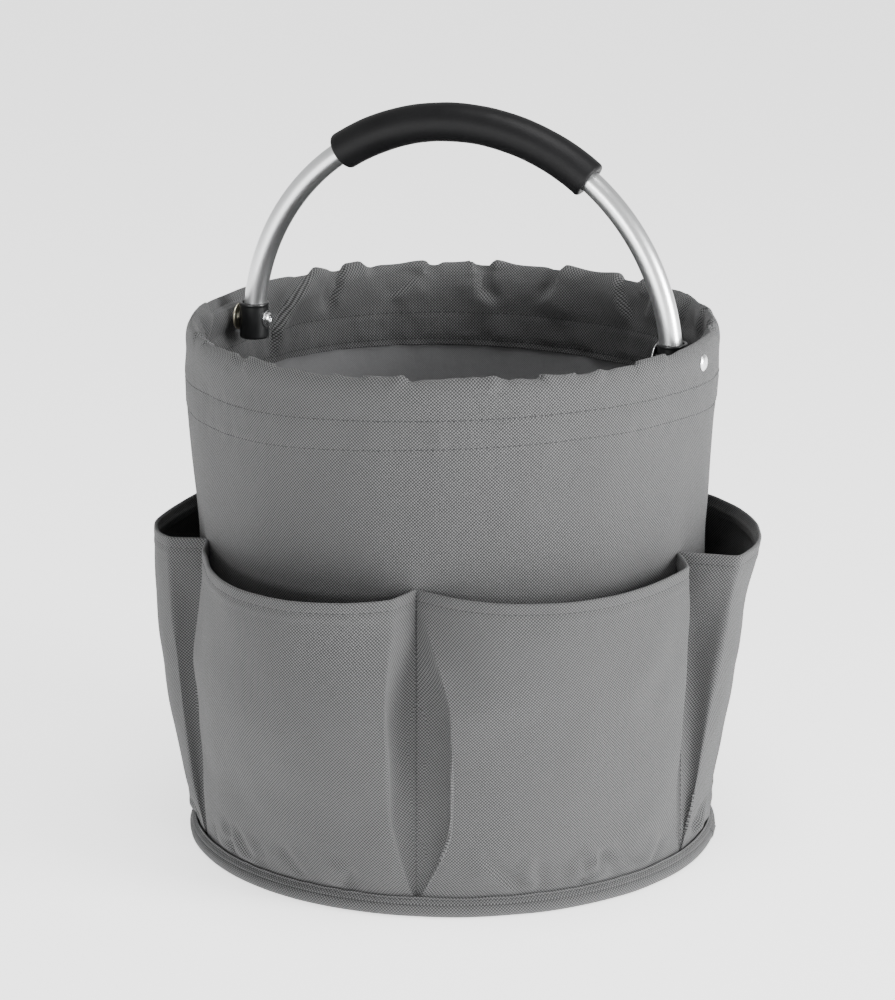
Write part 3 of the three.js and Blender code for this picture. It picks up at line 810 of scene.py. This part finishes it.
# Start and end say where the cloth folds beside each seam: the fold's reach from the seam and its
# depth at the top edge, then its reach half way down and its share there of the pocket's depth.
# Depth is that of the top edge at its furthest out, which is at peak, a share of the width. Sag is
# how far the edge's middle hangs. Belly is 0 for a pocket that leans out evenly to its top and 1
# for one that is rounded out below.
POCKET_SHAPES = {
    "pocket_front": dict(
        start=(20, 10, 12, 0.48), end=(10, 20, 13, 0.85), depth=35, peak=0.6, sag=4.4, belly=0.8),
    "pocket_front_right": dict(
        start=(3, 2, 19.5, 0.85), end=(19, 19, 15, 0.66), depth=29, peak=0.52, sag=3.0, belly=0.5),
    "pocket_right": dict(
        start=(8, 35, 9, 0.85), end=(26, 15, 15, 0.7), depth=37, peak=0.14, sag=2.4, belly=-0.1),
    "pocket_rear": dict(
        start=(14, 22, 14, 0.75), end=(9, 16, 13, 0.75), depth=31, peak=0.45, sag=3.2, belly=0.6),
    "pocket_rear_left": dict(
        start=(10, 20, 12, 0.75), end=(18, 22, 15, 0.7), depth=31, peak=0.6, sag=2.8, belly=0.8),
    "pocket_left": dict(
        start=(30, 16, 14, 0.7), end=(9, 22, 8, 0.75), depth=28, peak=0.78, sag=2.2, belly=1.15),
}
SEAM_STAND_OFF = 0.35
LEAST_DEPTH = 1.2  # of a pocket at its foot
FOLD_CLOSES = 0.3  # rise by which the folds have come out from the seams
RETURN_COLUMNS = 16
FRONT_COLUMNS = 84
POCKET_FOOT = POCKET_BOTTOM - 3.6  # the cloth runs down behind the foot tape
POCKET_CLOTH = 0.8
HEM = 11.0
HEM_STITCH = 6.0
HEM_TURN = 1.15  # radius of the hem's turn over the top edge


def pocket_depth(rise, shape):
    rounded = math.sin(rise * math.pi / 2)
    share = rise + (rounded - rise) * shape["belly"]
    return LEAST_DEPTH + (shape["depth"] - LEAST_DEPTH) * share


def fold_place(rise, shape, end):
    """Reach from the seam and depth of the fold line between a pocket's side and front."""
    top_reach, top_depth, middle_reach, middle_share = shape[end]
    to_top = ease(rise, 0.6, 1.0)
    below = 1.0 + (middle_reach - 1.0) * math.sin(math.pi / 2 * min(rise / FOLD_CLOSES, 1))
    reach = below + (top_reach - below) * to_top
    low_share = middle_share + 0.1 * ease(rise, 0.3, 0.05)
    share = low_share + (top_depth / shape["depth"] - low_share) * to_top
    return reach, pocket_depth(rise, shape) * share


def pocket_section(rise, width, shape):
    """Distance along the wall and depth out from it, across a pocket at one height."""
    reach_a, fold_a = fold_place(rise, shape, "start")
    reach_b, fold_b = fold_place(rise, shape, "end")
    side = np.linspace(0, 1, RETURN_COLUMNS, endpoint=False)
    tucked = 1.9 * ease(rise, 0.98, 0.6)  # how far the side runs along the wall before it rises
    side_along = side + tucked * side * (1 - side)
    side_out = side ** (1 + 0.4 * tucked)
    even = np.linspace(0, 1, FRONT_COLUMNS)
    across = 0.5 * even + 0.25 * (1 - np.cos(np.pi * even))
    base_line = fold_a + (fold_b - fold_a) * across
    skew = math.log(0.5) / math.log(shape["peak"])
    crown = 1 - np.abs(2 * across**skew - 1) ** 2
    front = base_line + np.maximum(pocket_depth(rise, shape) - base_line, 0) * crown
    along = np.concatenate([side_along * reach_a, reach_a + (width - reach_a - reach_b) * across,
                            (width - side_along * reach_b)[::-1]])
    out = np.concatenate([side_out * fold_a, front, (side_out * fold_b)[::-1]])
    return along, out


def pocket_rows():
    """Rise of each row from 0 at the foot to 1 at the top edge."""
    parts = [np.linspace(0, 0.2, 26, endpoint=False), np.linspace(0.2, 0.9, 50, endpoint=False)]
    return np.concatenate([*parts, np.linspace(0.9, 1, 18)])


def pocket_surface(name, start, end):
    shape = POCKET_SHAPES[name]
    rises = pocket_rows()
    rows = []
    for rise in rises:
        height = POCKET_FOOT + rise * (POCKET_TOP - POCKET_FOOT)
        wall = float(wall_radius(height))
        width = math.radians(end - start) * wall
        along, out = pocket_section(rise, width, shape)
        middle = 1 - (2 * along / width - 1) ** 2
        sag = shape["sag"] * rise**2 * middle
        at = start + np.degrees(along / wall)
        rows.append(polar(wall + SEAM_STAND_OFF + out, at, height - sag))
    grid = np.array(rows)
    rounds = 1.0 + 5 * ease(rises, 0.86, 1)  # the fold lines are crisp below and rounder at the hem
    for step in range(6):
        weight = np.clip(rounds - step, 0, 1)[:, None, None]
        eased = grid.copy()
        eased[:, 1:-1] = (grid[:, :-2] + 2 * grid[:, 1:-1] + grid[:, 2:]) / 4
        grid = grid + (eased - grid) * weight
    return grid, rises


def pocket_wrinkles(grid, rises, rng):
    """Soft dents all over, and short tucks where the cloth is eased into the foot seam."""
    across = run_length(grid, 1)
    width = across[:, -1:]
    up = run_length(grid, 0)
    held = ease(across, 0, 18) * ease(width - across, 0, 18)
    body = ease(rises, 0.0, 0.1)[:, None] * ease(rises, 1.0, 0.9)[:, None]
    relief = lumps(grid, 70, rng.uniform(0, 50)) * 2.8 * held * body
    relief += lumps(grid, 30, rng.uniform(0, 50)) * 1.1 * held * body
    foot = float(width.min())
    tucks = np.zeros(across.shape)
    for _ in range(8):
        begin = rng.uniform(0.1, 0.9) * foot
        lean = rng.uniform(-1, 1) * 30
        line = [(begin, 1), (begin + lean, rng.uniform(14, 32))]
        height, soft, side = rng.uniform(1.2, 2.8), rng.uniform(6, 13), rng.choice([-1, 1])
        tucks += fold_relief(across, up, line, height, soft, side)
    relief += tucks * ease(rises, 0.01, 0.04)[:, None]
    kinks = lumps(grid * [1, 1, 0.1], 22, rng.uniform(0, 50)) * 0.9
    relief += kinks * ease(rises, 0.86, 1.0)[:, None] * held
    return relief


def pocket(name, start, end, rng):
    grid, rises = pocket_surface(name, start, end)
    normals = grid_normals(grid, False)
    grid = grid + normals * pocket_wrinkles(grid, rises, rng)[..., None]
    below_top = (1 - rises)[:, None] * (POCKET_TOP - POCKET_BOTTOM)
    hem_swell = 0.35 * ease(below_top, HEM + 1, HEM - 1) - 0.5 * bell(below_top - HEM_STITCH, 1.1)
    grid = grid + grid_normals(grid, False) * hem_swell[..., None]
    normals = grid_normals(grid, False)

    # The hem turns over the top edge and runs down the inside.
    rows = [grid]
    for turn in np.radians([30, 60, 90, 120, 150]):
        inset = HEM_TURN * (1 - math.cos(turn))
        rows.append((grid[-1] - normals[-1] * inset + [0, 0, HEM_TURN * math.sin(turn)])[None])
    hem = below_top[:, 0] <= HEM
    rows.append(grid[hem][::-1] - normals[hem][::-1] * 2 * HEM_TURN)
    piece = cloth_piece(f"{name}_cloth", name, np.concatenate(rows), OUTER_CLOTH, POCKET_CLOTH)

    stitch_row = int(np.abs(below_top[:, 0] - HEM_STITCH).argmin())
    line = grid[stitch_row, 3:-3]
    seams = stitches(f"{name}_hem_stitches", [(line, normals[stitch_row, 3:-3])])


def pockets():
    """All pockets in order round the wall. They meet half way over the gaps between their solids."""
    spans = {n: node_span(n) for n in frame["nodes"] if n.startswith("pocket_")}
    order = sorted(spans, key=lambda n: spans[n][0] % FULL_TURN)
    lines = []
    for i, name in enumerate(order):
        after = spans[order[(i + 1) % len(order)]]
        before = spans[order[i - 1]]
        start = spans[name][0] + float(angle_from(before[1], spans[name][0])) / 2
        end = spans[name][1] + float(angle_from(after[0], spans[name][1])) / 2
        rng = np.random.default_rng(100 + i)
        pocket(name, start + 0.04, end - 0.04, rng)
        heights = np.linspace(POCKET_FOOT + 4, POCKET_TOP - 1, 60)
        line = polar(wall_radius(heights) + 1.5, start, heights)
        lines.append((line, np.tile(polar(1.0, start, 0.0), (len(line), 1))))
    stitches("pocket_seam_stitches", lines)


# ---- handle ----

GRIP_CLEARANCE = 0.35
SLEEVE_CLEARANCE = 0.4
SEAT_CLEARANCE = 0.3  # between the sleeve's flat seat and the screw's washer


def arch_point(angle, reach, lift):
    """A point round the handle's arch: angle from its top, distance from its centre, offset in Y."""
    turn = np.radians(angle)
    x = HANDLE_MIDDLE + reach * np.sin(turn)
    z = ARCH_HEIGHT + reach * np.cos(turn)
    return np.stack(np.broadcast_arrays(x, lift, z), -1).astype(float)


def handle_tube():
    """The bent tube: two short straight legs and a half circle, hollow all through."""
    sides = 48
    turn = (np.arange(sides) * 2 * math.pi / sides)[None, :]
    bends = np.linspace(-90, 90, 140)[:, None]
    arch = arch_point(bends, ARCH_RADIUS + TUBE_RADIUS * np.cos(turn), -TUBE_RADIUS * np.sin(turn))
    leg = [0, 0, ARCH_HEIGHT - TUBE_LOW[2]]
    grid = np.concatenate([arch[:1] - leg, arch, arch[-1:] - leg])
    cloth_piece("bail_tube", "handle_tube", grid, ALUMINIUM, TUBE_WALL, closed=True, body="handle")


def foam_grip():
    """A foam sleeve that is pushed over the tube, with soft cut ends."""
    sides, rows, fillet = 56, 90, 2.2
    radius = node_box("foam_grip")[1][1]
    points = node_points("foam_grip")
    round_arch = np.degrees(np.arctan2(points[:, 0] - HANDLE_MIDDLE, points[:, 2] - ARCH_HEIGHT))
    middle_angle = (round_arch.max() + round_arch.min()) / 2
    half = (round_arch.max() - round_arch.min()) / 2
    bore = TUBE_RADIUS + GRIP_CLEARANCE
    ends = math.degrees(fillet / ARCH_RADIUS)
    outline = [(bore, -half + 0.15), (bore + 1.0, -half)]
    for turn in np.radians(np.linspace(0, 90, 6)):
        outline.append((radius - fillet + fillet * math.sin(turn), -half + ends * (1 - math.cos(turn))))
    middle = [(radius, angle) for angle in np.linspace(-half + 1.6 * ends, half - 1.6 * ends, rows)]
    outline += middle + [(r, -a) for r, a in reversed(outline)]
    outline += [(bore, angle) for angle in np.linspace(half - 1, -half + 1, 24)]
    turn = (np.arange(sides) * 2 * math.pi / sides)[None, :]
    reach = np.array([r for r, _ in outline])[:, None]
    angle = middle_angle + np.array([a for _, a in outline])[:, None]
    skin = arch_point(angle, ARCH_RADIUS + reach * np.cos(turn), reach * np.sin(turn))
    swell = lumps(skin, 26, 4.2) * 0.35 + lumps(skin, 8, 1.2) * 0.08
    reach = reach + np.where(reach > bore + 1.5, swell, 0)
    grid = arch_point(angle, ARCH_RADIUS + reach * np.cos(turn), reach * np.sin(turn))
    grip = ring_piece("foam_grip_sleeve", "foam_grip", grid[:, ::-1], FOAM, "handle")


def end_sleeve(name, side):
    """The moulded cap on a tube end, with a lip round its mouth and a flat seat for the screw."""
    low, high = node_box(f"{name}_end_sleeve")
    radius = high[1]
    bore = TUBE_RADIUS + SLEEVE_CLEARANCE
    depth = TUBE_LOW[2] - 0.3
    wall = [(radius, z) for z in np.linspace(low[2] + 1.2, high[2] - 2.4, 44)]
    outline = filleted([
        (0.4, low[2]), (radius - 0.4, low[2]), *wall, (radius + 0.25, high[2] - 1.6),
        (radius + 0.1, high[2]), (bore, high[2]), (bore, depth), (0.4, depth),
    ], fillet=0.9)
    grid = turned_grid(outline, 144)
    washer_low, washer_high = node_box(f"{name}_head_washer")
    leg = HANDLE_MIDDLE + side * ARCH_RADIUS
    seat = min(abs(washer_low[0] - leg), abs(washer_high[0] - leg)) - SEAT_CLEARANCE
    from_pivot = np.hypot(grid[..., 1], grid[..., 2] - PIVOT_HEIGHT)
    limit = seat + 2 * np.maximum(from_pivot - washer_high[1] - 0.5, 0)
    inward = -side * grid[..., 0]
    grid[..., 0] = np.where(inward > bore, -side * np.minimum(inward, limit), grid[..., 0]) + leg
    ring_piece(f"{name}_sleeve_cap", f"{name}_end_sleeve", grid, PLASTIC, "handle")


def on_pivot(name, node, side, material, fillet, outline, wave=None):
    """A small part turned about the pivot axis: outline points are (radius, distance from centre)."""
    grid = turned_grid(filleted(outline, fillet), 60, wave)
    x, y, z = grid[..., 0], grid[..., 1], grid[..., 2]
    grid = np.stack([side * z, y * side, PIVOT_HEIGHT + x], -1)
    ring_piece(name, node, grid[:, ::-1], material, "basket", sharp=50)


def hex_socket(radius, turn, socket):
    """A radius at each angle: hexagonal within the socket and round past its edge."""
    flat_sided = math.cos(math.pi / 6) / np.cos(np.radians((turn % 60) - 30))
    round_share = float(ease(radius, socket, socket + 0.4))
    return radius * (flat_sided + (1 - flat_sided) * round_share)


SHANK = 3.0  # radius of a pivot screw
HOLE = 3.2  # radius of the washers' holes
BARREL = 4  # radius of a nut's barrel
HEAD_HEIGHT = 1.8
SOCKET_DEPTH = 1.2
CAP_HEIGHT = 1.9  # of a barrel nut
CENTRE = 0.3  # radius at which the outlines of solid parts close


def pivot_hardware(name, side):
    """Screw, washers and barrel nut of one pivot, each in the room of its CAD node."""
    def reach(node):
        low, high = node_box(f"{name}_{node}")
        return *sorted((abs(low[0]), abs(high[0]))), high[1]

    head, tip, radius = reach("pivot_screw")
    socket, under, bottom = 0.5 * radius, head + HEAD_HEIGHT, head + SOCKET_DEPTH
    on_pivot(f"{name}_screw", f"{name}_pivot_screw", side, CHROME, 0.2, [
        (CENTRE, bottom), (socket, bottom), (socket, head + 0.2), (socket + 0.4, head),
        (radius - 0.9, head), (radius, head + 0.7), (radius, under), (SHANK, under),
        (SHANK, tip), (CENTRE, tip),
    ], wave=lambda at, turn: hex_socket(at, turn, socket))
    inner, outer, radius = reach("head_washer")
    on_pivot(f"{name}_washer", f"{name}_head_washer", side, CHROME, 0.25, [
        (HOLE, inner), (radius, inner), (radius, outer + 0.2), (HOLE, outer + 0.2),
    ])
    inner, outer, radius = reach("cup_washer")
    on_pivot(f"{name}_cup", f"{name}_cup_washer", side, BRASS, 0.5, [
        (HOLE, inner), (radius - 2.2, inner), (radius - 0.3, inner + 0.5), (radius, inner + 1.0),
        (radius - 0.4, outer - 0.6), (radius - 3.4, outer), (HOLE, outer),
    ])
    inner, outer, radius = reach("barrel_nut")
    cap = outer - CAP_HEIGHT
    on_pivot(f"{name}_nut", f"{name}_barrel_nut", side, CHROME, 0.6, [
        (HOLE, inner), (BARREL, inner), (BARREL, cap), (radius, cap), (radius, cap + 0.6),
        (radius - 1.6, outer - 0.25), (1.5, outer), (CENTRE, outer), (CENTRE, tip + 0.3),
        (HOLE, tip + 0.3),
    ])


# ---- piping and tape ----

PIPING_JOINT = 105  # angle where the piping's two ends meet
PIPING_COLUMNS = 400
TAPE_HEIGHTS = (8.7, 12.6)
TAPE_RADII = (166.5, 164.5)  # at its lower and upper edge
TAPE_CLOTH = 0.7


def piping():
    """Cloth wrapped round a cord, with its two ends lapped at the joint."""
    angle = (np.arange(PIPING_COLUMNS) * FULL_TURN / PIPING_COLUMNS)[None, :]
    turn = np.linspace(-220, 120, 28)[:, None]
    centre = polar(PIPING_RING, angle, PIPING_RADIUS + 0 * turn)
    off = angle_from(angle, PIPING_JOINT)
    lap = 0.5 * ease(off, -3.2, -2.6) * ease(off, 3.0, 2.2)
    groove = 0.5 * bell(turn - 112, 12)
    size = PIPING_RADIUS - 0.25 + lap + lumps(centre, 24, 5.5) * 0.22 - groove
    upright = np.minimum(size, PIPING_RADIUS)  # so that no lump reaches below the floor
    grid = polar(PIPING_RING + size * np.cos(np.radians(turn)), angle,
                 PIPING_RADIUS + upright * np.sin(np.radians(turn)))
    cover = cloth_piece("base_piping_cloth", "base_piping", grid, OUTER_CLOTH, closed=True)
    seams = [*foot_tape(angle), piping_joint()]


def foot_tape(angle):
    """The narrow tape over the foot seam, rippled and sewn along its middle."""
    rows = np.linspace(0, 1, 9)[:, None]
    height = TAPE_HEIGHTS[0] + (TAPE_HEIGHTS[1] - TAPE_HEIGHTS[0]) * rows
    radius = TAPE_RADII[0] + (TAPE_RADII[1] - TAPE_RADII[0]) * ease(rows, 0, 0.9)
    ring = polar(radius, angle, height)
    ripple = lumps(ring, 9, 3.3) * 0.35 + lumps(ring, 26, 8.0) * 0.4
    radius = radius + ripple * np.sin(np.pi * rows) - 0.35 * bell(rows - 0.55, 0.18)
    edge_wave = lumps(ring * [1, 1, 0], 13, 1.9) * 0.5 + lumps(ring * [1, 1, 0], 3, 6.2) * 0.3
    grid = polar(radius, angle, height + edge_wave * rows)
    band = cloth_piece("foot_tape", "base_tape", grid, OUTER_CLOTH, TAPE_CLOTH, closed=True)
    normals = grid_normals(grid, True)
    wrap = list(range(PIPING_COLUMNS)) + [0]
    return [band, stitches("foot_tape_stitches", [(grid[5, wrap], normals[5, wrap])])]


def piping_joint():
    """The stitches on both sides of the piping's lapped joint."""
    climb = np.radians(np.linspace(-10, 100, 14))
    reach = PIPING_RADIUS + 0.35
    lines = []
    for at in (PIPING_JOINT - 2.9, PIPING_JOINT + 2.6):
        line = polar(PIPING_RING + reach * np.cos(climb), at, PIPING_RADIUS + reach * np.sin(climb))
        lines.append((line, line - polar(PIPING_RING, at, PIPING_RADIUS)))
    return stitches("piping_joint_stitches", lines, 1.6, 0.5)


# ---- assembly ----

outer_wall()
lining_wall()
lining_floor()
piping()
base()
pockets()
handle_tube()
foam_grip()
for name, side in (("left", -1), ("right", 1)):
    end_sleeve(name, side)
    pivot_hardware(name, side)

# The parts inside the cloth keep their own shapes.
INNER_PARTS = {
    ALUMINIUM: ("rim_hoop", "hoop_joiner", "hoop_rivet_left", "hoop_rivet_right"),
    BOARD: ("wall_stiffener", "base_board", "piping_cord"),
}
for material, names in INNER_PARTS.items():
    for name in names:
        slots = frame["nodes"][name].data.materials
        slots.clear()
        slots.append(material)

# ---- stage, light and camera, in metres ----

HORIZON_STRENGTH = 0.95
ZENITH_STRENGTH = 0.3
FLOOR_GLOW = 1.7
FLOOR_REACH = 30.0
FLOOR_LEVEL = -0.0002  # just below the caddy's foot
AIM = Vector((0, 0, 0.2))


def stage():
    mesh = bpy.data.meshes.new("floor")
    corners = [(x * FLOOR_REACH, y * FLOOR_REACH, FLOOR_LEVEL)
               for x, y in ((-1, -1), (1, -1), (1, 1), (-1, 1))]
    mesh.from_pydata(corners, [], [(0, 1, 2, 3)])
    shader = Shader("pale_floor", (0.86, 0.86, 0.86), 0.9)
    shader.put("Emission Color", (1, 1, 1, 1))
    shader.put("Emission Strength", FLOOR_GLOW)
    mesh.materials.append(shader.material)
    floor = bpy.data.objects.new("floor", mesh)
    bpy.context.scene.collection.objects.link(floor)

    # A studio that is brightest round the horizon, as between upright soft boxes.
    world = bpy.data.worlds.new("studio")
    world.use_nodes = True
    tree = world.node_tree
    background = tree.nodes["Background"]
    background.inputs["Color"].default_value = (1, 1, 1, 1)
    split = tree.nodes.new("ShaderNodeSeparateXYZ")
    fall = tree.nodes.new("ShaderNodeMapRange")
    tree.links.new(tree.nodes.new("ShaderNodeTexCoord").outputs["Generated"], split.inputs[0])
    tree.links.new(split.outputs["Z"], fall.inputs["Value"])
    fall.inputs["To Min"].default_value = HORIZON_STRENGTH
    fall.inputs["To Max"].default_value = ZENITH_STRENGTH
    tree.links.new(fall.outputs[0], background.inputs["Strength"])
    bpy.context.scene.world = world


def soft_light(name, place, power, width, height):
    """An oblong area light aimed at the middle of the caddy."""
    data = bpy.data.lights.new(name, "AREA")
    data.shape = "RECTANGLE"
    data.energy = power
    data.size = width
    data.size_y = height
    light = bpy.data.objects.new(name, data)
    light.location = place
    light.rotation_euler = (AIM - Vector(place)).to_track_quat("-Z", "Y").to_euler()
    bpy.context.scene.collection.objects.link(light)


def camera():
    """A long lens from the front right, looking a little down."""
    data = bpy.data.cameras.new("camera")
    data.sensor_width = 36
    data.lens = 143.18
    view = bpy.data.objects.new("camera", data)
    view.location = (0.96181, -2.19887, 0.88601)
    view.rotation_euler = Euler((math.radians(74.38), 0, math.radians(23.7)))
    bpy.context.scene.collection.objects.link(view)
    bpy.context.scene.camera = view


stage()
soft_light("key_right", (2.5, -0.1, 0.7), 130, 1.1, 1.1)
soft_light("front_fill", (-0.2, -3.0, 0.6), 44, 2.0, 0.4)
soft_light("top", (0.3, -0.3, 2.4), 42, 1.0, 1.0)
camera()
